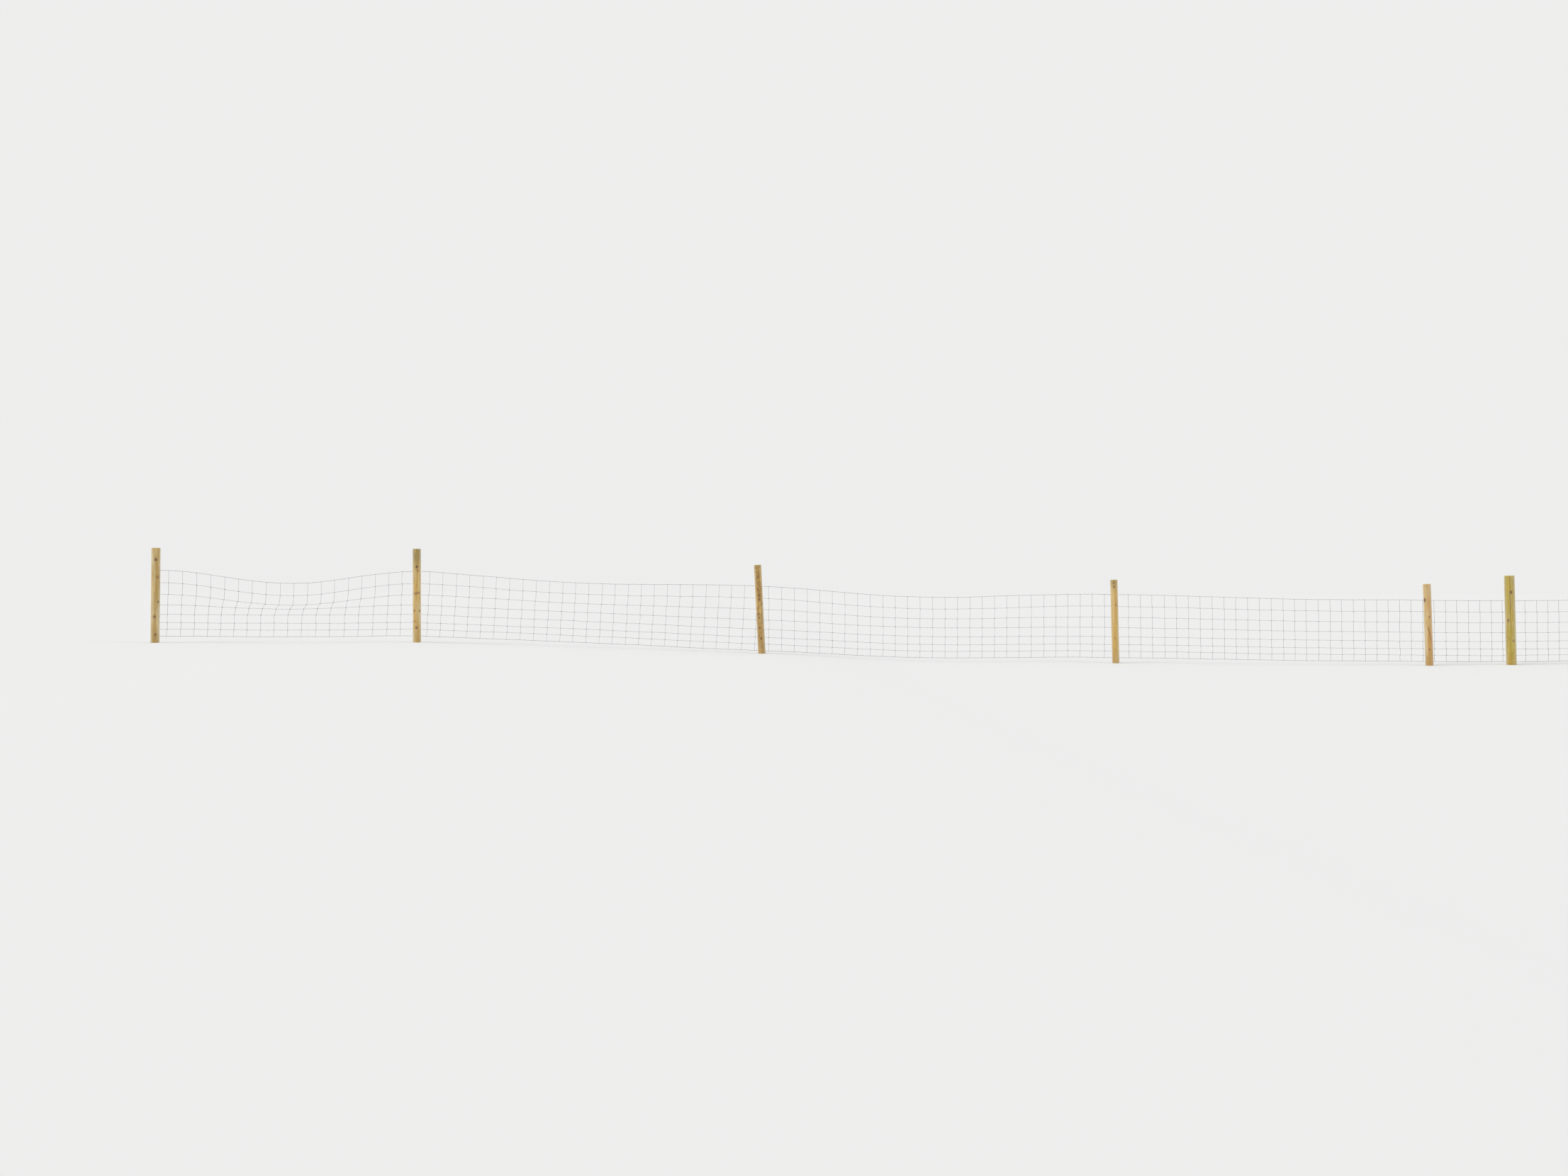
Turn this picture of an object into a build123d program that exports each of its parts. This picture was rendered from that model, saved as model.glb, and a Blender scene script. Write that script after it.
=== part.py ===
from build123d import *

import math
import os

# Stock fence: round peeled softwood posts with eight-line woven wire netting
# stapled to their far side. Millimetres, +Z up, +X along the fence.
# The origin is the centre of the foot of post_5, which stands lowest.

# Bays, from left to right, measured between the middles of the posts
end_bay = 2850.0
high_bay = 3930.0
wide_bay = 4260.0
low_bay = 3980.0
strainer_bay = 1065.0

# Stakes and the strainer are bought to length and driven to different depths
stake_length = 1650.0
strainer_length = 2100.0
strainer_diameter = 114.0
top_chamfer = 8.0
post_names = ("post_1", "post_2", "post_3", "post_4", "post_5", "strainer_post", "post_7")
post_diameters = (92.0, 91.0, 87.0, 86.0, 90.0, strainer_diameter, 89.0)
post_lengths = (stake_length,) * 5 + (strainer_length, stake_length)
driven_depths = (590.0, 587.0, 612.0, 647.0, 642.0, 992.0, 640.0)
leans_to_right = (0.6, -0.1, -2.8, -1.5, -2.1, -1.6, 0.8)
ground_levels = (345.0, 337.0, 190.0, 53.0, 0.0, 3.0, 8.0)

# Netting: its rows get lower towards the ground, and its stays keep one pitch
row_heights = (78.0, 79.0, 95.0, 109.0, 124.0, 132.0, 142.0)
stay_pitch = 150.0
first_stay = 116.0
wire_size = 2.5
post_clearance = 0.3

# Where it hangs on each post: the bottom line wire's height above the ground,
# and the top line wire's height above the bottom one
ground_gaps = (71.0, 72.0, 31.0, 63.0, 47.0, 34.0, 40.0)
hung_heights = (735.0, 735.0, 753.0, 760.0, 755.0, 759.0, 759.0)

# How far each bay's top and bottom line wires hang below a straight line, and
# the share of the bay from its left post to where they hang lowest
top_sags = (141.0, 54.0, 83.0, 15.0, 2.0, 4.0)
bottom_sags = (9.0, -5.0, 45.0, 7.0, 1.0, 2.0)
sag_places = (0.5, 0.46, 0.44, 0.58, 0.5, 0.5)
# The shares of the netting's height between which its rows are pressed together
crush_starts = (0.33, 0.35, 0.38, 0.30, 0.0, 0.0)
crush_ends = (0.74, 1.0, 0.85, 1.0, 1.0, 1.0)
# How far the stays have moved to the left where a bay hangs lowest, and how far
# the rows above the crush have slipped back over the buckled part
drifts = (42.0, 0.0, 0.0, 0.0, 0.0, 0.0)
slips = (52.0, 0.0, 0.0, 0.0, 0.0, 0.0)
# Sideways lean of the stays, as a share of their height
stay_leans = (0.03, 0.053, 0.003, -0.012, -0.015, -0.015)


def running_sums(start, steps):
    sums = [start]
    for step in steps:
        sums.append(sums[-1] + step)
    return sums


bay_lengths = (end_bay, high_bay, wide_bay, low_bay, strainer_bay, strainer_bay)
lowest = post_names.index("post_5")
post_places = running_sums(-sum(bay_lengths[:lowest]), bay_lengths)
row_levels = running_sums(0.0, row_heights)
netting_height = row_levels[-1]
netting_front = post_diameters[lowest] / 2 + post_clearance
stays_start = post_places[0] + first_stay


def smooth_step(low, high, value):
    share = min(max((value - low) / (high - low), 0.0), 1.0)
    return share * share * (3 - 2 * share)


def hang(bay, place):
    """How much of a bay's sag a line wire has at `place`: 0 at the posts, 1 where it hangs lowest."""
    along = (place - post_places[bay]) / bay_lengths[bay]
    return math.sin(math.pi * along ** (math.log(0.5) / math.log(sag_places[bay]))) ** 2


def crush(bay, level):
    """How much of the top line wire's extra sag the line wire at `level` takes."""
    return smooth_step(crush_starts[bay], crush_ends[bay], level / netting_height)


def wire_height(bay, place, level):
    """Height of the line wire at `level`, which hangs between two posts over falling ground."""
    along = (place - post_places[bay]) / bay_lengths[bay]
    share = level / netting_height
    left = ground_levels[bay] + ground_gaps[bay] + hung_heights[bay] * share
    right = ground_levels[bay + 1] + ground_gaps[bay + 1] + hung_heights[bay + 1] * share
    sag = bottom_sags[bay] + (top_sags[bay] - bottom_sags[bay]) * crush(bay, level)
    return left + (right - left) * along - sag * hang(bay, place)


def stay_place(bay, place, level):
    """Where the stay that belongs at `place` crosses the line wire at `level`."""
    lean = stay_leans[bay] * (level - netting_height / 2)
    slip = slips[bay] * crush(bay, level) - drifts[bay]
    return place + lean + slip * hang(bay, place)


def stays_of(bay):
    """Stays keep one pitch along the whole fence, whatever the posts' places."""
    margin = netting_height / 2 * abs(stay_leans[bay]) + wire_size
    first = math.ceil((post_places[bay] + margin - stays_start) / stay_pitch)
    last = math.floor((post_places[bay + 1] - margin - stays_start) / stay_pitch)
    return [stays_start + stay_pitch * number for number in range(first, last + 1)]


def netting_bay(bay):
    """One bay of netting: a flat sheet with a hole for each mesh, as thick as the wire."""
    half = wire_size / 2
    stays = stays_of(bay)

    def corner(place, level, side, edge):
        x = stay_place(bay, place, level) + side * half
        return x, netting_front, wire_height(bay, place, level) + edge * half

    def loose_ends(end, stay, levels, side):
        """The outline past a bay's last stay, out along each line wire to the post and back."""
        points = []
        for number, level in enumerate(levels):
            height = wire_height(bay, end, level)
            if number > 0:
                points.append(corner(stay, level, side, -side))
            points.append((end, netting_front, height - side * half))
            points.append((end, netting_front, height + side * half))
            if number < len(levels) - 1:
                points.append(corner(stay, level, side, side))
        return points

    meshes = []
    for left, right in zip(stays, stays[1:]):
        for low, high in zip(row_levels, row_levels[1:]):
            meshes.append(Wire.make_polygon([
                corner(left, low, 1, 1),
                corner(right, low, -1, 1),
                corner(right, high, -1, -1),
                corner(left, high, 1, -1),
            ]))
    outline = [corner(place, row_levels[0], 0, -1) for place in stays]
    outline += loose_ends(post_places[bay + 1], stays[-1], row_levels, 1)
    outline += [corner(place, row_levels[-1], 0, 1) for place in reversed(stays)]
    outline += loose_ends(post_places[bay], stays[0], row_levels[::-1], -1)
    return extrude(Face(Wire.make_polygon(outline), meshes), wire_size, dir=(0, 1, 0))


def post(number):
    """A round post, chamfered on top and cut off level with the ground that it leans from."""
    radius = post_diameters[number] / 2
    log = Pos(0, 0, -driven_depths[number]) * Solid.make_cylinder(radius, post_lengths[number])
    log = log.chamfer(top_chamfer, None, [log.edges().sort_by(Axis.Z)[-1]])
    log = split(log.rotate(Axis.Y, leans_to_right[number]), bisect_by=Plane.XY, keep=Keep.TOP)
    behind = netting_front - post_clearance - radius
    return Pos(post_places[number], behind, ground_levels[number]) * log


os.makedirs("parts", exist_ok=True)
for number, name in enumerate(post_names):
    export_step(post(number), f"parts/{name}.step")
for bay in range(len(bay_lengths)):
    export_step(netting_bay(bay), f"parts/netting_bay_{bay + 1}.step")
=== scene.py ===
# %% [markdown]
# A stock fence: round peeled softwood posts, and eight-line woven wire netting
# stapled to their far side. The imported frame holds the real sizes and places,
# so this lesson only dresses it. Each bare post is swapped for a log with drying
# checks and knots, and each flat lattice for round crimped wires with stays
# that are wrapped round them.

# %% Load the frame
import math
import random

import bmesh
import bpy
from mathutils import Matrix, Vector, kdtree, noise


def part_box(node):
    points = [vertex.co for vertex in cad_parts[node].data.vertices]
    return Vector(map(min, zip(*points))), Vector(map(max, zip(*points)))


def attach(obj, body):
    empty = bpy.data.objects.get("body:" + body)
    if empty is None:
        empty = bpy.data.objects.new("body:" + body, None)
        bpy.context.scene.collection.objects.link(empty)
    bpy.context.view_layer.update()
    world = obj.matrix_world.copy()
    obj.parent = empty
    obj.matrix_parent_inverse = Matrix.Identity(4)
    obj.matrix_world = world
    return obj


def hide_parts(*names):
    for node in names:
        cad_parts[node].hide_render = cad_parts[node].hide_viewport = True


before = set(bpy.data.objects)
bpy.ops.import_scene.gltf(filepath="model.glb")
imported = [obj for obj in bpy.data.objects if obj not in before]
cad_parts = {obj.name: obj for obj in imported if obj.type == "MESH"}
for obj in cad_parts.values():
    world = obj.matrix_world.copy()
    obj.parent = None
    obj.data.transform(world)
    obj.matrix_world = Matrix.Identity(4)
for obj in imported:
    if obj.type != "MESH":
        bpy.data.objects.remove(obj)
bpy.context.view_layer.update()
scene = bpy.context.scene
post_names = sorted((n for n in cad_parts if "post" in n), key=lambda n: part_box(n)[0].x)
bay_names = sorted(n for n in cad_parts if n.startswith("netting_bay"))
print("posts:", post_names)
print("bays:", bay_names)

# %% [markdown]
# The picture was taken from about a metre above the lowest ground and 13.6 m
# in front of the fence, level, and turned a little to the right of square. The
# netting tells that: its stays are 150 mm apart all along the fence, so where 79
# of them show in the picture gives the distance and the turn. The lens is a
# guess, 27 mm on a 36 mm frame, but along so straight a fence another one would
# change little. The foot of post_5 is the origin.

# %% Camera
picture_width = 2212
focal_pixels = 1650
sensor_width = 36
camera_place = (-9.2224, -13.6187, 0.9544)
turned_right = math.radians(5.21)


def add_object(name, data):
    made = bpy.data.objects.new(name, data)
    scene.collection.objects.link(made)
    return made


camera_data = bpy.data.cameras.new("camera")
camera_data.sensor_width = sensor_width
camera_data.lens = sensor_width * focal_pixels / picture_width
camera = add_object("camera", camera_data)
camera.location = camera_place
camera.rotation_euler = (math.radians(90), 0, -turned_right)
scene.camera = camera
print("camera at", camera_place, "lens", round(camera_data.lens, 2), "mm")

# %% [markdown]
# A finish is a node tree, and building one by hand takes a line for each node
# and each link, so one helper makes a node and fills its inputs in a single
# call. What all the posts share goes into node groups, which are built once.

# %% Make nodes and node groups
FLOAT, COLOUR, VECTOR = "NodeSocketFloat", "NodeSocketColor", "NodeSocketVector"


def tone(code):
    """A colour written as a web code, turned into the linear values that sockets take."""
    parts = [int(code[i:i + 2], 16) / 255 for i in (0, 2, 4)]
    return [*(c / 12.92 if c < 0.04045 else ((c + 0.055) / 1.055) ** 2.4 for c in parts), 1]


def fill(tree, socket, value):
    """Gives a socket a value, or links it to the output socket that feeds it."""
    if isinstance(value, bpy.types.NodeSocket):
        tree.links.new(value, socket)
    else:
        socket.default_value = value


def add_node(tree, kind, inputs=None, **settings):
    node = tree.nodes.new(kind)
    for name, value in settings.items():
        setattr(node, name, value)
    for name, value in (inputs or {}).items():
        fill(tree, node.inputs[name], value)
    return node


def new_group(name, inputs, outputs):
    """A shader node group. Each input is given as its kind, or as the number it starts at."""
    group = bpy.data.node_groups.new(name, "ShaderNodeTree")
    for label, given in inputs.items():
        kind = given if isinstance(given, str) else FLOAT
        socket = group.interface.new_socket(label, in_out="INPUT", socket_type=kind)
        if kind != given:
            socket.default_value = given
    for label, kind in outputs.items():
        group.interface.new_socket(label, in_out="OUTPUT", socket_type=kind)
    return group, group.nodes.new("NodeGroupInput").outputs, group.nodes.new("NodeGroupOutput").inputs


def put_out(group, out, **sockets):
    for label, socket in sockets.items():
        group.links.new(socket, out[label])


def show_group(group):
    print("group:", group.name, [socket.name for socket in group.interface.items_tree])


print("the web code c0a060 in linear values:", [round(value, 3) for value in tone("c0a060")])

# %% [markdown]
# Nearly every effect is made of the same few steps: arithmetic, a mix of two
# colours, a value moved to another range with soft ends, and noise stretched
# along one axis, because nearly all that shows on wood is long and thin.

# %% Steps of a finish
def maths(tree, operation, *values):
    return add_node(tree, "ShaderNodeMath", dict(enumerate(values)), operation=operation).outputs[0]


def times(tree, a, b):
    return maths(tree, "MULTIPLY", a, b)


def vector_maths(tree, operation, *values, output="Vector"):
    node = add_node(tree, "ShaderNodeVectorMath", dict(enumerate(values)), operation=operation)
    return node.outputs[output]


def mix_colours(tree, share, first, second):
    node = add_node(tree, "ShaderNodeMix", data_type="RGBA")
    for name, value in (("Factor_Float", share), ("A_Color", first), ("B_Color", second)):
        fill(tree, next(s for s in node.inputs if s.identifier == name), value)
    return next(s for s in node.outputs if s.identifier == "Result_Color")


def paint_over(tree, colour, *layers):
    """Lays colours over one another, each where its own mask says."""
    for mask, over in layers:
        colour = mix_colours(tree, mask, colour, over)
    return colour


def remap(tree, value, low_in, high_in, low_out=0.0, high_out=1.0):
    """Moves a value from one range to another, clamped and eased at both ends."""
    ranges = {"From Min": low_in, "From Max": high_in, "To Min": low_out, "To Max": high_out}
    node = add_node(tree, "ShaderNodeMapRange", {"Value": value, **ranges}, interpolation_type="SMOOTHSTEP")
    return node.outputs["Result"]


def fade(tree, value, start, end):
    """1 up to the start, and 0 from the end on."""
    return remap(tree, value, start, end, 1.0, 0.0)


def noise_mask(tree, place, waves, detail=3.0, roughness=0.5):
    """Noise with its own waves a metre along each axis, so that streaks can run up a post."""
    scaled = vector_maths(tree, "MULTIPLY", place, waves)
    inputs = {"Vector": scaled, "Scale": 1.0, "Detail": detail, "Roughness": roughness}
    return add_node(tree, "ShaderNodeTexNoise", inputs).outputs["Fac"]


print("steps:", [step.__name__ for step in (mix_colours, paint_over, remap, fade, noise_mask)])

# %% [markdown]
# Softwood has patterns that follow the log, not the world. Growth rings lie
# round a pith that wanders, so a round surface cuts them into long flames, the
# sawn top shows them as circles, and they swell round every knot. Broad bands
# of richer colour, streaks and fine fibres run up the log. The log's mesh
# carries its own upright place and how far each point is from the nearest knot,
# so that every pattern leans with the post and meets its knots.

# %% Wood pattern group
usual_ring_width = 0.0024
pith_waves, pith_offsets = (1.0, 1.0, 2.2), (0.0, 7.3)
ring_waves, ring_wave_size = (22, 22, 5), 0.008
rings_pushed_by_knot = 0.016
late_wood_power, late_wood_end = 2.2, 0.84
# Waves a metre across the log and up it, detail and roughness
grain_noises = {
    "Bands": ((34, 34, 1.6), 3.0, 0.5),
    "Streaks": ((110, 110, 4.5), 4.0, 0.6),
    "Fibres": ((700, 700, 14), 3.0, 0.65),
}


def distance_from_pith(group, place, wander):
    up = add_node(group, "ShaderNodeSeparateXYZ", {0: place}).outputs["Z"]
    drift = []
    for offset in pith_offsets:
        at_height = add_node(group, "ShaderNodeCombineXYZ", {"X": offset, "Z": up}).outputs[0]
        sway = noise_mask(group, at_height, pith_waves, 2.0)
        drift.append(times(group, maths(group, "SUBTRACT", sway, 0.5), wander))
    pith = add_node(group, "ShaderNodeCombineXYZ", {"X": drift[0], "Y": drift[1]}).outputs[0]
    flat = vector_maths(group, "MULTIPLY", place, (1, 1, 0))
    return vector_maths(group, "DISTANCE", flat, pith, output="Value")


def make_wood_group():
    group, given, out = new_group(
        "softwood_pattern",
        {"Place": VECTOR, "Knot": 9.0, "Ring Width": usual_ring_width, "Pith Wander": 0.05},
        {"Rings": FLOAT, "Bands": FLOAT, "Streaks": FLOAT, "Fibres": FLOAT},
    )
    place = given["Place"]
    away = distance_from_pith(group, place, given["Pith Wander"])
    wavy = noise_mask(group, place, ring_waves, 2.0)
    away = maths(group, "ADD", away, times(group, wavy, ring_wave_size))
    near = maths(group, "ADD", times(group, given["Knot"], given["Knot"]), 1.0)
    away = maths(group, "ADD", away, maths(group, "DIVIDE", rings_pushed_by_knot, near))
    step = maths(group, "FRACT", maths(group, "DIVIDE", away, given["Ring Width"]))
    late_wood = maths(group, "POWER", step, late_wood_power)
    put_out(group, out, Rings=times(group, late_wood, fade(group, step, late_wood_end, 1.0)))
    put_out(group, out, **{label: noise_mask(group, place, *kind) for label, kind in grain_noises.items()})
    return group


wood_group = make_wood_group()
show_group(wood_group)

# %% [markdown]
# A knot is the root of a branch: a disc of darker, harder wood with its own
# small rings and a nearly black rim. The log's mesh stores, at each vertex, the
# way to the nearest knot in knot widths, so a shader can draw the disc sharply
# even where the mesh is coarse. Noise keeps it from being a perfect circle.

# %% Knot group
knot_edge_waves = (130, 130, 90)
knot_edge_swing, knot_edge_least = 0.9, 0.55
# From where to where each part of a knot comes or goes, in knot widths
disc_goes = (0.80, 1.05)
rim_comes, rim_goes = (0.55, 0.92), (0.98, 1.30)
halo_goes = (1.0, 3.2)


def make_knot_group():
    group, given, out = new_group(
        "knot_marks",
        {"Way": VECTOR, "Place": VECTOR},
        {"Distance": FLOAT, "Disc": FLOAT, "Rim": FLOAT, "Halo": FLOAT},
    )
    straight = vector_maths(group, "LENGTH", given["Way"], output="Value")
    edge = noise_mask(group, given["Place"], knot_edge_waves, 3.0)
    ragged = maths(group, "MULTIPLY_ADD", edge, knot_edge_swing, knot_edge_least)
    distance = times(group, straight, ragged)
    rim = times(group, remap(group, distance, *rim_comes), fade(group, distance, *rim_goes))
    disc, halo = fade(group, distance, *disc_goes), fade(group, distance, *halo_goes)
    put_out(group, out, Distance=distance, Disc=disc, Rim=rim, Halo=halo)
    return group


knot_group = make_knot_group()
show_group(knot_group)

# %% [markdown]
# Outdoors the same marks come on every post in different strengths: the
# surface silvers in patches, green algae takes the head where rain lies
# longest, and splashes darken the foot. One group does that to whatever wood
# colour it is given. Knots and the painted shade in checks are drawn over it,
# because they stay dark.

# %% Weather group
patch_noise, thread_noise = ((16, 16, 3.0), 4.0, 0.6), ((120, 120, 6), 3.0, 0.6)
silver_mask, silver_tone = (0.42, 0.66), tone("d3c7a0")
edge_raggedness = 0.4
algae_edge = (-0.06, 0.14)
algae_mask = (0.28, 0.62, 0.45, 1.0)
algae_tone_mask, algae_tones = (0.35, 0.7), (tone("9a8540"), tone("746530"))
splash_heights, splash_strength, splash_tone = (-0.05, 0.26), 0.45, tone("9a772f")
patch_roughness = (0.3, 0.7, 0.78, 0.92)


def make_weather_group():
    group, given, out = new_group(
        "post_weather",
        {"Wood": COLOUR, "Place": VECTOR, "Height": 0.5, "Silver": 0.3, "Algae": 0.0, "Algae From": 0.7},
        {"Colour": COLOUR, "Roughness": FLOAT},
    )
    patches = noise_mask(group, given["Place"], *patch_noise)
    threads = noise_mask(group, given["Place"], *thread_noise)
    silver = times(group, remap(group, patches, *silver_mask), given["Silver"])
    ragged = times(group, maths(group, "SUBTRACT", patches, 0.5), edge_raggedness)
    edge = maths(group, "ADD", given["Height"], ragged)
    reach = remap(group, maths(group, "SUBTRACT", edge, given["Algae From"]), *algae_edge)
    growth = times(group, reach, remap(group, threads, *algae_mask))
    algae = times(group, growth, given["Algae"])
    green = mix_colours(group, remap(group, threads, *algae_tone_mask), *algae_tones)
    splash = times(group, fade(group, edge, *splash_heights), splash_strength)
    colour = paint_over(group, given["Wood"], (silver, silver_tone), (algae, green), (splash, splash_tone))
    put_out(group, out, Colour=colour, Roughness=remap(group, patches, *patch_roughness))
    return group


weather_group = make_weather_group()
show_group(weather_group)

# %% [markdown]
# The bare wood is mixed from four colours: pale and dark streaks, bands of a
# richer one, and the flames where the surface cuts the growth rings. Fine dark
# fibres lie over them. The sawn head shows end grain, which is paler and has
# the rings as circles, so the mesh marks where that is. The same pale tone also
# covers the head's chamfer, where it is partly end grain and partly a painted
# highlight along the rim.

# %% Colour of the wood
# From where to where in its noise each mark comes, and how strong it gets
streak_mask = (0.32, 0.68)
band_mask = (0.45, 0.56, 0.0, 0.9)
fibre_mask, fibre_tone = (0.47, 0.70, 0.0, 0.42), tone("7d5a34")
# Pale end grain of the sawn top, which on the chamfer is also a painted rim highlight
sawn_tones_and_rim_highlight, sawn_ring_strength, sawn_and_rim_highlight_strength = (tone("ebe1c0"), tone("b4945e")), 0.55, 0.85


def read_attribute(tree, name):
    return add_node(tree, "ShaderNodeAttribute", attribute_name=name).outputs


def wood_colour(tree, pattern, tones, flames):
    light, dark, gold, flame = (tone(code) for code in tones.split())
    sawn = mix_colours(tree, times(tree, pattern["Rings"], sawn_ring_strength), *sawn_tones_and_rim_highlight)
    return paint_over(
        tree, light,
        (remap(tree, pattern["Streaks"], *streak_mask), dark),
        (remap(tree, pattern["Bands"], *band_mask), gold),
        (times(tree, pattern["Rings"], flames), flame),
        (remap(tree, pattern["Fibres"], *fibre_mask), fibre_tone),
        # Pale end grain on the sawn top, and a painted rim highlight on its chamfer
        (times(tree, read_attribute(tree, "end_grain_and_rim_highlight")["Fac"], sawn_and_rim_highlight_strength), sawn),
    )


print("fibres darken the wood by up to", fibre_mask[3])

# %% [markdown]
# Knots and checks go over the weathered wood. A knot has a warm halo, a heart
# with its own rings and a dark rim, and a faint knot has hardly any rim. A
# check is a split so deep that hardly any light comes back out of it, so that
# shade is painted into its groove as a nearly black colour.

# %% Colour of knots, and painted shade in checks
halo_strength, halo_tone = 0.5, tone("8a5b28")
heart_tones = (tone("82501e"), tone("42240e"))
rim_tone = tone("28160a")
# The near black of an open check is painted shade, not a colour of the wood
check_shade_mask, check_shade_tone = (0.10, 0.60, 0.0, 0.95), tone("23170d")


def draw_marks(tree, colour, pattern, knots):
    bold = read_attribute(tree, "knot_boldness")["Fac"]
    heart = mix_colours(tree, pattern["Rings"], *heart_tones)
    return paint_over(
        tree, colour,
        (times(tree, knots["Halo"], halo_strength), halo_tone),
        (times(tree, knots["Disc"], bold), heart),
        (times(tree, knots["Rim"], times(tree, bold, bold)), rim_tone),
        # Painted shade inside an open check
        (remap(tree, read_attribute(tree, "check")["Fac"], *check_shade_mask), check_shade_tone),
    )


print("an open check hides up to", check_shade_mask[3], "of the wood's colour")

# %% [markdown]
# Each post gets its own material from the three groups, because each has
# weathered in its own way: one has an olive head, one is brown with strong
# flames, two are paler and clearer, and the thick strainer is mustard yellow.
# Sheen stands for the raised fibres, which catch the light at a post's edges.

# %% Post materials
relief_of_rings, relief_strength, relief_height = 0.5, 0.6, 0.0010


def new_material(name, **values):
    """A material with its node tree and its shader, which gets the given values."""
    material = bpy.data.materials.new(name)
    material.use_nodes = True
    shader = material.node_tree.nodes["Principled BSDF"]
    for label, value in values.items():
        shader.inputs[label.replace("_", " ")].default_value = value
    return material, material.node_tree, shader


def add_bump(tree, shader, height, strength, distance):
    bump = add_node(tree, "ShaderNodeBump", {"Height": height, "Strength": strength, "Distance": distance})
    tree.links.new(bump.outputs["Normal"], shader.inputs["Normal"])


def post_material(name, tones, flames, silver, algae=0.0, algae_from=0.7, ring_width=usual_ring_width):
    material, tree, shader = new_material(
        name, Specular_IOR_Level=0.25, Sheen_Weight=1.0, Sheen_Roughness=0.6, Sheen_Tint=tone("fbfaf0"))

    def placed(group, inputs):
        return add_node(tree, "ShaderNodeGroup", inputs, node_tree=group).outputs

    place = read_attribute(tree, "log_place")["Vector"]
    knots = placed(knot_group, {"Way": read_attribute(tree, "way_to_knot")["Vector"], "Place": place})
    pattern = placed(wood_group, {"Place": place, "Knot": knots["Distance"], "Ring Width": ring_width})
    bare = wood_colour(tree, pattern, tones, flames)
    height = read_attribute(tree, "height_share")["Fac"]
    strengths = {"Silver": silver, "Algae": algae, "Algae From": algae_from}
    weather = placed(weather_group, {"Wood": bare, "Place": place, "Height": height, **strengths})
    colour = draw_marks(tree, weather["Colour"], pattern, knots)
    tree.links.new(colour, shader.inputs["Base Color"])
    tree.links.new(weather["Roughness"], shader.inputs["Roughness"])
    relief = maths(tree, "ADD", pattern["Fibres"], times(tree, pattern["Rings"], relief_of_rings))
    add_bump(tree, shader, relief, relief_strength, relief_height)
    return material


# Tones of light and dark streaks, bands and flames, strengths of flames, silver and
# algae, the share of the height where algae begins, and the growth rings' width
finishes = {
    "post_1": ("wood_grey_tan", "dbc286 c1a263 ba9746 987436", 0.40, 0.55),
    "post_2": ("wood_olive_head", "e3c580 cba357 c89d3e a57931", 0.38, 0.40, 0.9, 0.79),
    "post_3": ("wood_brown_flames", "deb96b ad822d b08425 704b09", 0.72, 0.20, 0.35, 0.88, 0.0034),
    "post_4": ("wood_clear_tan", "e2c485 caa761 caa145 9f7631", 0.36, 0.35, 0.6, 0.86),
    "post_5": ("wood_pink_tan", "dbba7b c19853 c48f41 91682b", 0.36, 0.40, 0.1, 0.9),
    "strainer_post": ("wood_mustard", "d0b93c b29c26 b6980e 816418", 0.40, 0.28, 0.25, 0.1),
    "post_7": ("wood_plain_tan", "dbb978 c29a56 c0943e 936e2e", 0.38, 0.40),
}
post_materials = {name: post_material(*finish) for name, finish in finishes.items()}
print("post materials:", len(post_materials))

# %% [markdown]
# A log has to stand just where its CAD post stands, lean as it leans and be as
# thick. Its foot, axis, length and radius are measured on the post's own mesh,
# so the two can't drift apart.

# %% Read the posts from the frame
def middle_of(points):
    return Vector([(min(values) + max(values)) / 2 for values in zip(*points)])


def read_post(name):
    """Foot, axis, length and radius of a post, measured on its CAD mesh."""
    low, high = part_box(name)
    points = {tuple(round(c, 5) for c in v.co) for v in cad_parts[name].data.vertices}
    foot = middle_of([p for p in points if p[2] < low.z + 0.001])
    head = [Vector(p) for p in points if p[2] > (low.z + high.z) / 2]
    axis = (sum(head, Vector()) / len(head) - foot).normalized()
    length = max((p - foot).dot(axis) for p in head)
    return foot, axis, length, (high.y - low.y) / 2


posts = {name: read_post(name) for name in post_names}
for name, (foot, axis, length, radius) in posts.items():
    lean = math.degrees(math.asin(axis.x))
    print(f"{name}: {length * 1000:.0f} mm long, {radius * 2000:.0f} mm across, leans {lean:.1f} degrees")

# %% [markdown]
# Branches grow in whorls, a few at one height, so a knot on the side that the
# camera sees has fellows behind, and a post without marks of its own gets
# whorls all the way up. A seeded random generator draws the same ones each time.

# %% Knots of a log
far_turn, height_scatter = 1.4, 0.015
half_widths, boldnesses = (0.005, 0.010), (0.4, 0.95)
first_whorl, next_whorl, bare_top = (0.08, 0.16), (0.15, 0.28), 0.05
knots_in_whorl, knots_in_full_turn, turn_scatter = (2, 3, 3, 4), 3.4, 0.3
knot_room = 3.4


def knot(angle, height, half_width, bold=0.8, stretch=1.25, slant=0.0):
    """A knot: its angle, height and half width, how dark it is, how far it is drawn out, and which way."""
    return angle, height, half_width, bold, stretch, slant


def random_knot(angle, height, chance):
    height += chance.uniform(-height_scatter, height_scatter)
    return knot(angle, height, chance.uniform(*half_widths), chance.uniform(*boldnesses))


def whorl_fellows(knots, facing, chance):
    """For each knot on the near side, one or two at its height on the far side."""
    fellows = []
    for _, height, *_ in knots:
        for _ in range(chance.choice((1, 2))):
            angle = facing + math.pi + chance.uniform(-far_turn, far_turn)
            fellows.append(random_knot(angle, height, chance))
    return fellows


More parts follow.
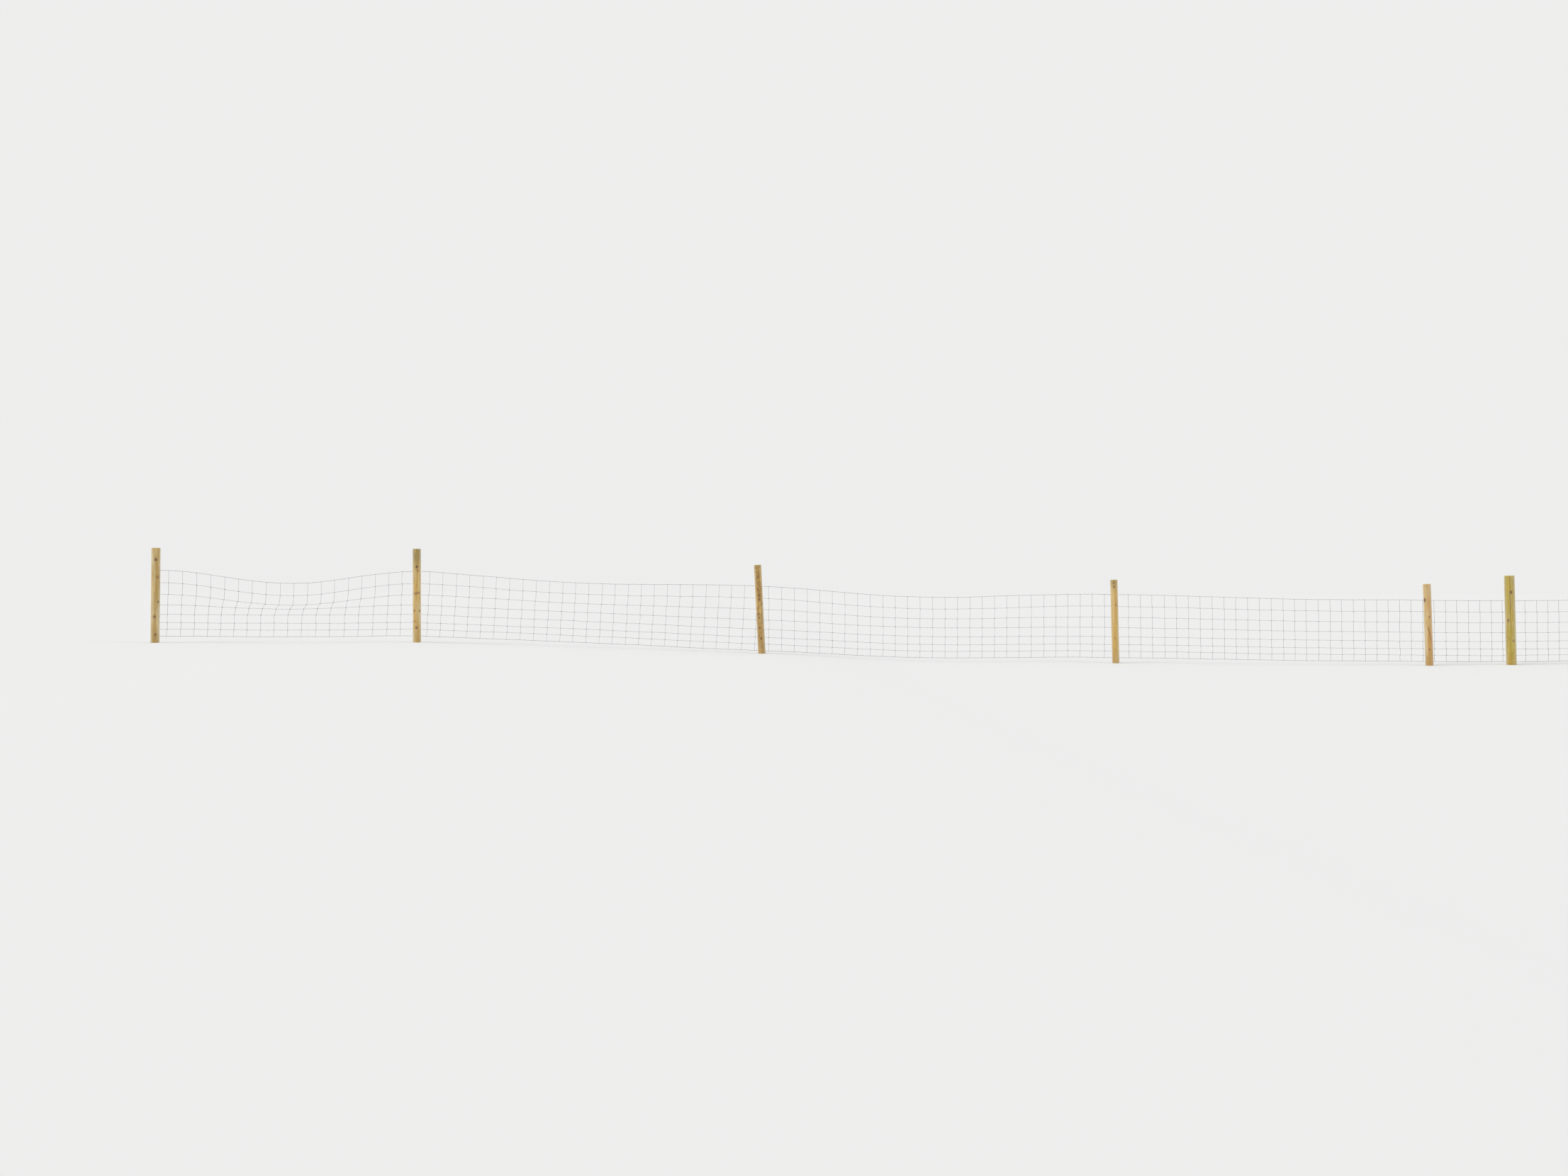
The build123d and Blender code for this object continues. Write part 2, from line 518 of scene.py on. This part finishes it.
def plain_whorls(length, chance):
    knots = []
    height = chance.uniform(*first_whorl)
    while height < length - bare_top:
        start = chance.uniform(0, 2 * math.pi)
        for number in range(chance.choice(knots_in_whorl)):
            scatter = chance.uniform(-turn_scatter, turn_scatter)
            angle = start + number * 2 * math.pi / knots_in_full_turn + scatter
            knots.append(random_knot(angle, height, chance))
        height += chance.uniform(*next_whorl)
    return knots


def around(angle, other, radius):
    """The shorter way round the log's surface from one angle to another."""
    return ((angle - other + math.pi) % (2 * math.pi) - math.pi) * radius


def with_room(knots, radius):
    """Drops a knot that would run into an earlier one."""
    kept = []
    for new in knots:
        for old in kept:
            away = math.hypot(around(new[0], old[0], radius), new[1] - old[1])
            if away < knot_room * max(new[2], old[2]):
                break
        else:
            kept.append(new)
    return kept


print("random knots are", [round(2000 * half) for half in half_widths], "mm wide")

# %% [markdown]
# A check is a split that opens along the fibres as a post dries. Thin wedges
# could cut it out of the log, but would leave a torn mesh. Here the surface is a
# grid of upright columns of vertices: the one nearest to a check follows its
# line and sinks to make the groove, and its neighbours are its two lips.

# %% Checks of a log
columns = 96
column_turn = 2 * math.pi / columns
drawn_in = 5
opens_over, openness_power = 0.3, 0.7
closed_half_width = 0.0004
spiral = 0.05
wander_size, wander_waves = 0.06, (5, 3.1, 6)
ragged_size, ragged_waves = 0.02, (9, 1.7, 34)


def column_of(check):
    """The number of the column of vertices that follows a check."""
    return round(check[0] / column_turn)


def spaced(checks):
    """Drops checks that would fight for the same columns."""
    kept = []
    for check in checks:
        gaps = [abs(column_of(check) - column_of(other)) % columns for other in kept]
        if all(min(gap, columns - gap) > 2 * drawn_in for gap in gaps):
            kept.append(check)
    return kept


def check_openness(check, height):
    """How far a check is open at a height: 0 past its ends, 1 in its middle."""
    _, bottom, top, _, _ = check
    if not bottom < height < top:
        return 0.0
    ends = min(height - bottom, top - height) / (opens_over * (top - bottom))
    return min(ends, 1.0) ** openness_power


def check_angle(check, height, seed):
    """A check follows the fibres, which climb in a slow spiral and wander a little."""
    wander, ragged = (
        noise.noise(Vector((check[0] * waves[0], seed * waves[1], height * waves[2])))
        for waves in (wander_waves, ragged_waves)
    )
    return check[0] + spiral * height + wander_size * wander + ragged_size * ragged


def column_angles(checks, height, radius, seed):
    """Angles of all vertex columns at one height, drawn in to each check's line."""
    angles = [number * column_turn for number in range(columns)]
    for check in checks:
        line = check_angle(check, height, seed)
        nearest = column_of(check)
        half = max(check[3] * check_openness(check, height), closed_half_width) / radius
        pins = [
            (-drawn_in, (nearest - drawn_in) * column_turn), (-1, line - half), (0, line),
            (1, line + half), (drawn_in, (nearest + drawn_in) * column_turn),
        ]
        for (k0, a0), (k1, a1) in zip(pins, pins[1:]):
            for k in range(k0, k1 + 1):
                angles[(nearest + k) % columns] = a0 + (a1 - a0) * (k - k0) / (k1 - k0)
    return angles


def groove(checks, number, height):
    """How open the check in this column of vertices is, and how deep it goes."""
    for check in checks:
        if (number - column_of(check)) % columns == 0:
            open_here = check_openness(check, height)
            return open_here, open_here * check[4]
    return 0.0, 0.0


print("columns of vertices round a log:", columns)

# %% [markdown]
# All the marks of a log are gathered before it is modelled. Those on the near
# side are listed. The far side gets three long checks, of which one runs
# out at the top, and the sawn head gets short ones all round, since end grain
# dries first.

# %% Marks on a log
past_the_top, lowest_check = 0.1, 0.05
far_checks, far_spread, far_spread_if_near = 3, math.pi, 1.9
spread_share = 0.8
far_tops, far_lengths = (0.5, 0.95), (0.3, 0.7)
far_half_widths, far_depths = (0.0012, 0.0022), (0.007, 0.011)
head_checks, head_lengths = 8, (0.02, 0.06)
head_half_width, head_depth = 0.0007, 0.005


def way_to_camera(name):
    """The angle round a post's axis at which it faces the camera."""
    foot = posts[name][0]
    return math.atan2(camera_place[1] - foot.y, camera_place[0] - foot.x)


def draw_checks(length, facing, spread, chance):
    checks = []
    for number in range(far_checks):
        angle = facing + math.pi + chance.uniform(-1, 1) * spread * spread_share
        top = length + past_the_top if number == 0 else chance.uniform(*far_tops) * length
        bottom = max(top - chance.uniform(*far_lengths), lowest_check)
        checks.append((angle, bottom, top, chance.uniform(*far_half_widths), chance.uniform(*far_depths)))
    for _ in range(head_checks):
        angle = chance.uniform(0, 2 * math.pi)
        bottom = length - chance.uniform(*head_lengths)
        checks.append((angle, bottom, length + past_the_top, head_half_width, head_depth))
    return checks


def log_marks(name, seed, near_knots, near_checks):
    _, _, length, radius = posts[name]
    chance = random.Random(seed)
    facing = way_to_camera(name)
    knots = [knot(facing + angle, *rest) for angle, *rest in near_knots]
    checks = [(facing + angle, *rest) for angle, *rest in near_checks]
    more_knots = whorl_fellows(knots, facing, chance) if knots else plain_whorls(length, chance)
    knots += with_room(more_knots, radius)
    checks += draw_checks(length, facing, far_spread_if_near if checks else far_spread, chance)
    return {"knots": knots, "checks": spaced(checks), "seed": seed}


print("post_4 faces the camera at", round(math.degrees(way_to_camera("post_4"))), "degrees round its axis")

# %% [markdown]
# A round post is turned on a machine, so it starts as a true cylinder: a cone
# operator with equal radii. The head's rim is bevelled, the upright edges are
# cut into rings, and the sawn top is inset towards its middle so that it can
# hold radial splits. It reaches a little below the ground, and is cut off level
# at its foot once it leans.

# %% Shape of a log
ring_step = 0.006
head_chamfer = 0.008
below_ground = 0.02
top_insets = 6


def log_shape(length, radius):
    """A cylinder in rings, with a bevelled head, and rings in to the middle of its top."""
    bm = bmesh.new()
    depth = length + below_ground
    bmesh.ops.create_cone(bm, cap_ends=True, segments=columns, radius1=radius, radius2=radius, depth=depth)
    bmesh.ops.translate(bm, verts=bm.verts, vec=(0, 0, depth / 2 - below_ground))
    rim = [e for e in bm.edges if min(v.co.z for v in e.verts) > length - 1e-5]
    bmesh.ops.bevel(bm, geom=rim, offset=head_chamfer, segments=3, profile=0.5, affect="EDGES", material=-1)
    upright = [e for e in bm.edges if abs(e.verts[0].co.z - e.verts[1].co.z) > depth / 2]
    bmesh.ops.subdivide_edges(bm, edges=upright, cuts=round(depth / ring_step))
    top = next(f for f in bm.faces if len(f.verts) > 8 and f.calc_center_median().z > 0)
    for _ in range(top_insets):
        ring = (radius - head_chamfer) / (top_insets + 1)
        bmesh.ops.inset_individual(bm, faces=[top], thickness=ring, use_even_offset=True)
    return bm


def lean_and_cut_off(bm, foot, axis):
    turn = Vector((0, 0, 1)).rotation_difference(axis).to_matrix().to_4x4()
    bmesh.ops.transform(bm, matrix=Matrix.Translation(foot) @ turn, verts=bm.verts)
    everything = [*bm.verts, *bm.edges, *bm.faces]
    bmesh.ops.bisect_plane(bm, geom=everything, plane_co=foot, plane_no=(0, 0, 1), clear_inner=True)
    bmesh.ops.edgeloop_fill(bm, edges=[e for e in bm.edges if e.is_boundary])
    bmesh.ops.recalc_face_normals(bm, faces=bm.faces)


print("a ring of vertices every", ring_step * 1000, "mm up the log")

# %% [markdown]
# Then each vertex is told what its material should draw there, and moved. It
# turns with its column, sinks where a check is open or the log is uneven, and
# less so round a knot. What the material reads is kept in attributes of the
# mesh, so it stays with the wood when the log leans.

# %% Model a log
swell_at_knot, swell_reach = 0.0010, 2.5
unevenness, uneven_round, uneven_up = 0.0012, 1.3, 2.5
between_logs = 2.7
groove_on_top = 0.8
far_from_knots = (0, 0, 9)
float_labels = ("height_share", "check", "knot_boldness", "end_grain_and_rim_highlight")
vector_labels = ("log_place", "way_to_knot")


def way_to_knot(knots, angle, height, radius):
    """The way to the nearest knot in knot widths, and how dark it is. Away from knots it turns outwards."""
    nearest, boldness = Vector(far_from_knots), 0.0
    for k_angle, k_height, size, bold, stretch, slant in knots:
        across, up = around(angle, k_angle, radius), height - k_height
        x = (across * math.cos(slant) - up * math.sin(slant)) / size
        y = (across * math.sin(slant) + up * math.cos(slant)) / size / stretch
        distance = math.hypot(x, y)
        if distance < nearest.length:
            flat = min(max(2 - distance, 0), 1)
            nearest = Vector((x * flat, y * flat, distance * math.sqrt(1 - flat * flat)))
            boldness = bold
    return nearest, boldness


def dress_vertex(v, layers, number, angle, length, radius, marks):
    height, out = v.co.z, v.co.xy.length
    cos, sin = math.cos(angle), math.sin(angle)
    share = out / radius
    on_side = out > radius - 0.001
    way, boldness = Vector(far_from_knots), 0.0
    if on_side:
        way, boldness = way_to_knot(marks["knots"], angle, height, radius)
    opened, sink = groove(marks["checks"], number, height)
    v[layers["height_share"]] = height / length
    # How open a check is here, which the material paints as shade
    v[layers["check"]] = opened * share
    v[layers["knot_boldness"]] = boldness
    # 1 on the sawn top and its chamfer: end grain, and on the chamfer also a painted rim highlight
    v[layers["end_grain_and_rim_highlight"]] = 0.0 if on_side else 1.0
    v[layers["log_place"]] = Vector((out * cos, out * sin, height + between_logs * marks["seed"]))
    v[layers["way_to_knot"]] = way
    wave = noise.noise(Vector((cos * uneven_round, sin * uneven_round, height * uneven_up + marks["seed"])))
    inward = sink + unevenness * (0.5 + 0.5 * wave) - swell_at_knot * max(0.0, 1 - way.length / swell_reach)
    if height > length - 1e-4:
        inward = 0.0
        v.co.z -= sink * share * groove_on_top
    inward = max(inward, 0.0)
    v.co.x = (out - inward) * cos
    v.co.y = (out - inward) * sin


def model_log(name, marks):
    foot, axis, length, radius = posts[name]
    bm = log_shape(length, radius)
    layers = {label: bm.verts.layers.float.new(label) for label in float_labels}
    layers.update({label: bm.verts.layers.float_vector.new(label) for label in vector_labels})
    angles_at = {}
    for v in bm.verts:
        number = round(math.atan2(v.co.y, v.co.x) / column_turn) % columns
        key = round(v.co.z, 4)
        if key not in angles_at:
            angles_at[key] = column_angles(marks["checks"], v.co.z, radius, marks["seed"])
        dress_vertex(v, layers, number, angles_at[key][number], length, radius, marks)
    lean_and_cut_off(bm, foot, axis)
    for face in bm.faces:
        face.smooth = len(face.verts) == 4
    return bm


print("attributes of a log:", *float_labels, *vector_labels)

# %% [markdown]
# Now the logs are made. Every finished piece is one mesh at the origin, rides
# on the fence's only body, hides the CAD part that it replaces, where there is
# one, and gets one material. The marks that can be told in the picture are
# listed post by post, with angles from the line to the camera and lengths in
# metres: knots as above, then checks with their bottom, top, half width and depth.

# %% Logs
def finish_piece(bm, name, material, node):
    mesh = bpy.data.meshes.new(name)
    bm.to_mesh(mesh)
    bm.free()
    mesh.materials.append(material)
    piece = add_object(name, mesh)
    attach(piece, "root")
    if node:
        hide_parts(node)
    return piece


near_marks = {
    "post_2": (
        [(0.0, 0.857, 0.009, 1.0), (0.2, 0.815, 0.006, 0.5), (-0.75, 0.562, 0.005, 0.6),
         (0.5, 0.562, 0.006, 0.7), (-0.15, 0.555, 0.006, 0.5, 2.2, 0.9), (-0.7, 0.36, 0.007, 0.7),
         (0.75, 0.36, 0.007, 0.8), (-0.7, 0.24, 0.006, 0.6), (-0.1, 0.168, 0.008, 0.8)],
        [(-0.68, 0.66, 0.79, 0.0018, 0.009)],
    ),
    "post_3": (
        [(-0.38, 1.0, 0.006, 0.5), (-0.38, 0.955, 0.005, 0.7), (-0.1, 0.933, 0.0034, 0.5, 5.5, 0.75),
         (-0.12, 0.893, 0.0042, 0.8, 5.5, 0.67), (-0.22, 0.746, 0.005, 0.8, 3.5, -0.45),
         (0.0, 0.679, 0.009, 0.8), (0.03, 0.633, 0.008, 0.9), (0.6, 0.58, 0.006, 0.5),
         (-0.5, 0.532, 0.006, 0.5), (-0.39, 0.464, 0.008, 0.8), (-0.25, 0.42, 0.006, 0.7),
         (-0.23, 0.301, 0.008, 0.6), (-0.48, 0.205, 0.006, 0.5), (0.05, 0.178, 0.008, 0.8)],
        [(0.42, 0.28, 0.52, 0.0020, 0.010), (-0.75, 0.6, 0.9, 0.0012, 0.007)],
    ),
    "post_4": (
        [(0.0, 0.967, 0.006, 0.6), (0.0, 0.915, 0.006, 0.9), (0.52, 0.697, 0.006, 0.6),
         (-0.1, 0.30, 0.005, 0.4)],
        [(-0.55, 0.30, 0.66, 0.0009, 0.006)],
    ),
    "post_5": (
        [(-0.72, 0.806, 0.010, 1.0, 1.8), (0.45, 0.60, 0.006, 0.5), (0.1, 0.2, 0.006, 0.5),
         (0.15, 0.43, 0.0035, 0.3, 9.0, -0.25), (0.55, 0.34, 0.0035, 0.35, 8.0, -0.2)],
        [(0.2, 0.33, 0.52, 0.0014, 0.008)],
    ),
    "strainer_post": (
        [(-0.4, 0.55, 0.009, 0.6), (0.3, 0.90, 0.010, 0.8), (0.55, 0.30, 0.008, 0.6)],
        [(0.05, 0.30, 1.2, 0.0018, 0.010)],
    ),
}

for seed, name in enumerate(post_names, start=1):
    marks = log_marks(name, seed, *near_marks.get(name, ((), ())))
    piece = finish_piece(model_log(name, marks), name + "_log", post_materials[name], name)
    print(piece.name, len(piece.data.polygons), "faces,", len(marks["knots"]), "knots")

# %% [markdown]
# Galvanised wire weathers from bright zinc to a dull, slightly blotchy grey,
# with the odd brown speck where the coat is thin. It is a soft metal finish, so
# the shader is partly metallic and rough.

# %% Wire materials
blotch_waves, blotch_mask = (60, 60, 60), (0.35, 0.65)
speck_waves, speck_mask, speck_tone = (240, 240, 240), (0.66, 0.74), tone("7a4a2c")
grit_waves, grit_strength, grit_height = (900, 900, 900), 0.2, 0.0003
wire_roughness = (0.42, 0.62)


def wire_material(name, light, dark, rust_share):
    material, tree, shader = new_material(name, Metallic=0.55)
    place = add_node(tree, "ShaderNodeTexCoord").outputs["Object"]
    blotches = remap(tree, noise_mask(tree, place, blotch_waves, 3.0), *blotch_mask)
    colour = mix_colours(tree, blotches, tone(light), tone(dark))
    specks = remap(tree, noise_mask(tree, place, speck_waves, 2.0), *speck_mask, 0.0, rust_share)
    colour = mix_colours(tree, specks, colour, speck_tone)
    tree.links.new(colour, shader.inputs["Base Color"])
    tree.links.new(remap(tree, blotches, 0, 1, *wire_roughness), shader.inputs["Roughness"])
    add_bump(tree, shader, noise_mask(tree, place, grit_waves, 2.0), grit_strength, grit_height)
    return material


netting_metal = wire_material("dull_zinc_wire", "868a8b", "65696b", 0.35)
staple_metal = wire_material("staple_zinc", "969897", "726f69", 0.8)
print("wire materials:", netting_metal.name, staple_metal.name)

# %% [markdown]
# The netting hangs where the CAD lattice hangs, so its points come from the
# frame: the corners of the flat lattice's meshes lie in fours round each
# crossing of a stay and a line wire, and their middle is the crossing.

# %% Find the crossings of a bay
crossing_reach = 0.004
same_column = 0.001


def crossings(node_name):
    """Columns of crossings from left to right, each from the bottom line wire up."""
    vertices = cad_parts[node_name].data.vertices
    low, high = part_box(node_name)
    front = [v.co.copy() for v in vertices if v.co.y < (low.y + high.y) / 2]
    tree = kdtree.KDTree(len(front))
    for number, point in enumerate(front):
        tree.insert(point, number)
    tree.balance()
    middles, used = [], set()
    for number, point in enumerate(front):
        if number not in used:
            near = [index for _, index, _ in tree.find_range(point, crossing_reach)]
            used.update(near)
            middle = middle_of([front[index] for index in near])
            middles.append(Vector((middle.x, (low.y + high.y) / 2, middle.z)))
    middles.sort(key=lambda point: point.x)
    rows = sum(1 for point in middles if point.x < low.x + same_column)
    return [sorted(middles[i:i + rows], key=lambda point: point.z) for i in range(0, len(middles), rows)]


bay_grids = {name: crossings(name) for name in bay_names}
for name, grid in bay_grids.items():
    print(f"{name}: {len(grid) - 2} stays, {len(grid[0])} line wires")

# %% [markdown]
# A real netting is never quite true: every crossing has been pushed a few
# millimetres. The push is drawn once for each crossing, before anything uses
# it, so line wires and stays still meet.

# %% Loosen the netting
loosening_seed = 200
shove_up, shove_along = 0.0022, 0.0020
own_share_up, own_share_along = 0.4, 0.5
wave_swing, waves_along, waves_apart = 2, 1.6, 5.3


def loosen(grid, seed):
    """Moves the crossings between two posts a little, neighbours on a line wire much alike."""
    chance = random.Random(loosening_seed + seed)
    for column in grid[1:-1]:
        stay_shove = chance.gauss(0, shove_along)
        for row, point in enumerate(column):
            wave = noise.noise(Vector((point.x * waves_along, row * waves_apart, seed)))
            point.z += shove_up * wave * wave_swing + chance.gauss(0, shove_up * own_share_up)
            point.x += stay_shove + chance.gauss(0, shove_along * own_share_along)


for seed, grid in enumerate(bay_grids.values()):
    loosen(grid, seed)
print("crossings moved by about", shove_up * 1000, "mm")

# %% [markdown]
# A line wire is straight but for a small crimp between each pair of stays: one
# bend up and one down, which lets the netting stretch when a beast leans on it
# and draw back after. A crimp is a sine wave that starts and ends flat.

# %% Line wires with their crimps
line_radius, edge_line_radius = 0.00125, 0.0016
crimp_height, crimp_heights = 0.0035, (0.7, 1.2)
crimp_length = 0.042
crimp_off_middle = 0.05
crimp_steps = 10


def line_wire(grid, row, chance):
    """Points of one line wire across a bay, with a crimp half way between stays."""
    points = []
    for left, right in zip(grid, grid[1:]):
        a, b = left[row], right[row]
        points.append(a)
        run = (b - a).length
        if run < 2 * crimp_length:
            continue
        middle = 0.5 + chance.uniform(-crimp_off_middle, crimp_off_middle)
        height = crimp_height * chance.uniform(*crimp_heights)
        for number in range(crimp_steps + 1):
            along = number / crimp_steps
            rise = math.sin(2 * math.pi * along) * math.sin(math.pi * along) ** 0.5
            on_line = a.lerp(b, middle + (along - 0.5) * crimp_length / run)
            points.append(on_line + Vector((0, 0, rise * height)))
    points.append(grid[-1][row])
    return points


print("crimps:", crimp_length * 1000, "mm long and about", crimp_height * 1000, "mm high")

# %% [markdown]
# Each stay is a short length of wire for every row, and both its ends are
# coiled round the line wires, which makes the hinge that gives hinge-joint
# netting its name. At each crossing the upper length is coiled to one side and
# the lower one to the other, so from row to row the coils change sides.

# %% Stays with a coil at each end
stay_radius = 0.00125
coil_steps, coil_turns = 6, 1.5
coil_offset = 0.0016
stay_bend_along, stay_bend_across = 0.0012, 0.0010


def coil(crossing, side, upward):
    """Points of the coil at a stay's end, from the loose tip in to the straight part."""
    reach = line_radius + stay_radius
    points = []
    for step in range(coil_steps, -1, -1):
        angle = 2 * math.pi * coil_turns * step / coil_steps
        x = side * (coil_offset + 2 * stay_radius * coil_turns * step / coil_steps)
        z = math.sin(angle) * reach * upward
        points.append(crossing + Vector((x, math.cos(angle) * reach, z)))
    return points


def stay(low, high, side, chance):
    """One stay length between two line wires, coiled round each of them."""
    bent = Vector((chance.gauss(0, stay_bend_along), chance.gauss(0, stay_bend_across), 0))
    bottom, top = coil(low, side, -1), coil(high, side, 1)
    middle = (bottom[-1] + top[-1]) / 2 + bent
    return bottom + [middle] + top[::-1]


def stay_lengths(grid, chance):
    pairs = [pair for column in grid[1:-1] for pair in enumerate(zip(column, column[1:]))]
    return [stay(low, high, 1 if row % 2 else -1, chance) for row, (low, high) in pairs]


print("a coil goes", coil_turns, "times round its line wire")

# %% [markdown]
# Wires are easiest as curves with a round bevel: a list of points is all that
# each one needs. A piece is one closed mesh, so the curves are turned into a
# mesh at once, and their caps, which come loose, are merged with the tubes.
# There are many wires, so a line wire has six sides and a stay four.

# %% Make wires from their points
wire_seed = 100
line_resolution, stay_resolution = 1, 0


def wires_to_bmesh(bm, paths, radius, resolution):
    """Adds a round wire along each path, with its ends closed."""
    curve = bpy.data.curves.new("wires", "CURVE")
    curve.dimensions = "3D"
    curve.bevel_depth = radius
    curve.bevel_resolution = resolution
    curve.use_fill_caps = True
    for path in paths:
        spline = curve.splines.new("POLY")
        spline.points.add(len(path) - 1)
        for point, place in zip(spline.points, path):
            point.co = (*place, 1)
    holder = add_object("wires", curve)
    mesh = bpy.data.meshes.new_from_object(holder)
    bm.from_mesh(mesh)
    bpy.data.objects.remove(holder)
    bpy.data.curves.remove(curve)
    bpy.data.meshes.remove(mesh)
    bmesh.ops.remove_doubles(bm, verts=bm.verts, dist=1e-6)
    for face in bm.faces:
        face.smooth = len(face.verts) == 4


for seed, (name, grid) in enumerate(bay_grids.items()):
    chance = random.Random(wire_seed + seed)
    bm = bmesh.new()
    lines = [line_wire(grid, row, chance) for row in range(len(grid[0]))]
    wires_to_bmesh(bm, lines[1:-1], line_radius, line_resolution)
    wires_to_bmesh(bm, [lines[0], lines[-1]], edge_line_radius, line_resolution)
    stays = stay_lengths(grid, chance)
    wires_to_bmesh(bm, stays, stay_radius, stay_resolution)
    piece = finish_piece(bm, name + "_wires", netting_metal, name)
    print(piece.name, len(stays), "stay lengths,", len(piece.data.polygons), "faces")

# %% [markdown]
# Staples hold the netting. A fencing staple is a U of thick wire, driven at a
# slant so that its two points don't enter the same fibre and split the post,
# and not driven home, so that the line wire can still slide. The strainer has
# one on every line wire, and the stakes on every other one and the bottom one.

# %% Staples
staple_seed = 7
staple_radius, staple_half_width = 0.0018, 0.0055
staple_in_wood = 0.010
crown_room = 0.0012
staple_off_axis = 0.006
staple_slants = (0.35, 0.8)


def staple(wire_point, slant):
    """A U over a line wire, from inside the wood, out over the wire and back in."""
    crown = line_radius + staple_radius + crown_room
    across = Vector((math.sin(slant), 0, math.cos(slant))) * staple_half_width
    out = Vector((0, 1, 0))
    shape = ((-1.0, -staple_in_wood), (-1.0, crown * 0.35), (-0.8, crown * 0.82), (-0.4, crown),
             (0.4, crown), (0.8, crown * 0.82), (1.0, crown * 0.35), (1.0, -staple_in_wood))
    return [wire_point + across * side + out * depth for side, depth in shape]


def staples_of(post_name, column, chance):
    """The staples of one post, from its top line wire down."""
    every = 1 if post_name == "strainer_post" else 2
    foot, axis, _, _ = posts[post_name]
    made = []
    for row in range(len(column) - 1, -1, -1):
        if (len(column) - 1 - row) % every and row:
            continue
        point = column[row].copy()
        off_axis = chance.uniform(-staple_off_axis, staple_off_axis)
        point.x = foot.x + axis.x * (point.z - foot.z) + off_axis
        made.append(staple(point, chance.uniform(*staple_slants) * chance.choice((-1, 1))))
    return made


chance = random.Random(staple_seed)
at_posts = [grid[0] for grid in bay_grids.values()] + [bay_grids[bay_names[-1]][-1]]
staples = [path for name, column in zip(post_names, at_posts) for path in staples_of(name, column, chance)]
bm = bmesh.new()
wires_to_bmesh(bm, staples, staple_radius, line_resolution)
finish_piece(bm, "staples", staple_metal, None)
print("staples:", len(staples))

# %% [markdown]
# The stage is a plain pale floor that rises and falls as the ground does: it is
# level at each foot, and between two posts it keeps to the bottom line wire, as
# the netting was hung to follow the ground. It is one strip of points along the
# fence, extruded far to both sides.

# %% Floor
floor_reach = 160
level_part = 0.08
floor_tone = (0.84, 0.84, 0.83, 1)


def floor_line():
    """Where the ground is along the fence, from post to post, as pairs of x and z."""
    feet = [posts[name][0] for name in post_names]
    line = [(feet[0].x - floor_reach, feet[0].z)]
    for left, right, grid in zip(feet, feet[1:], bay_grids.values()):
        gap_left, gap_right = grid[0][0].z - left.z, grid[-1][0].z - right.z
        line += [(left.x - level_part, left.z), (left.x + level_part, left.z)]
        for point in (column[0] for column in grid[1:-1]):
            share = (point.x - left.x) / (right.x - left.x)
            if level_part * 2 < point.x - left.x < right.x - left.x - level_part * 2:
                gap = gap_left + (gap_right - gap_left) * share
                line.append((point.x, point.z - gap))
    last = feet[-1]
    return line + [(last.x - level_part, last.z), (last.x + floor_reach, last.z)]


def floor_mesh():
    bm = bmesh.new()
    vertices = [bm.verts.new((x, -floor_reach, z)) for x, z in floor_line()]
    edges = [bm.edges.new(pair) for pair in zip(vertices, vertices[1:])]
    made = bmesh.ops.extrude_edge_only(bm, edges=edges)["geom"]
    moved = [g for g in made if isinstance(g, bmesh.types.BMVert)]
    bmesh.ops.translate(bm, verts=moved, vec=(0, 2 * floor_reach, 0))
    bmesh.ops.recalc_face_normals(bm, faces=bm.faces)
    if sum(f.normal.z for f in bm.faces) < 0:
        bmesh.ops.reverse_faces(bm, faces=bm.faces)
    for face in bm.faces:
        face.smooth = True
    mesh = bpy.data.meshes.new("floor")
    bm.to_mesh(mesh)
    bm.free()
    return mesh


floor = add_object("floor", floor_mesh())
matt = {"Roughness": 1.0, "Specular_IOR_Level": 0.0}
floor.data.materials.append(new_material("pale_floor", Base_Color=floor_tone, **matt)[0])
print("floor:", len(floor.data.vertices) // 2, "points along the fence")

# %% [markdown]
# The light is soft and plain: an even pale sky, and a broad sun lamp from
# either side, the left one stronger, which together give the round posts pale
# edges, as a bright overcast day does. What the camera sees of the sky is the
# tone that the lit floor comes out at, so the floor has no far edge.

# %% Light
sky_strength, sky_tone = 0.70, (0.95, 0.97, 1.0, 1)
floor_as_lit = (0.846, 0.850, 0.842, 1)
sun_spread, sun_tone = math.radians(35), (1.0, 0.97, 0.92)

world = bpy.data.worlds.new("sky")
scene.world = world
world.use_nodes = True
tree = world.node_tree
background = tree.nodes["Background"].inputs
rays = add_node(tree, "ShaderNodeLightPath").outputs
seen = maths(tree, "MAXIMUM", rays["Is Camera Ray"], rays["Is Glossy Ray"])
seen = maths(tree, "MAXIMUM", seen, rays["Is Transmission Ray"])
strength = maths(tree, "MULTIPLY_ADD", seen, 1.0 - sky_strength, sky_strength)
put_out(tree, background, Color=mix_colours(tree, seen, sky_tone, floor_as_lit), Strength=strength)


def add_sun(name, energy, from_above, from_side):
    sun_data = bpy.data.lights.new(name, "SUN")
    sun_data.energy = energy
    sun_data.angle = sun_spread
    sun_data.color = sun_tone
    add_object(name, sun_data).rotation_euler = (math.radians(from_above), 0, math.radians(from_side))


add_sun("sun_left", 1.30, 52, -68)
add_sun("sun_right", 0.50, 52, 72)
scene.view_settings.view_transform = "Standard"
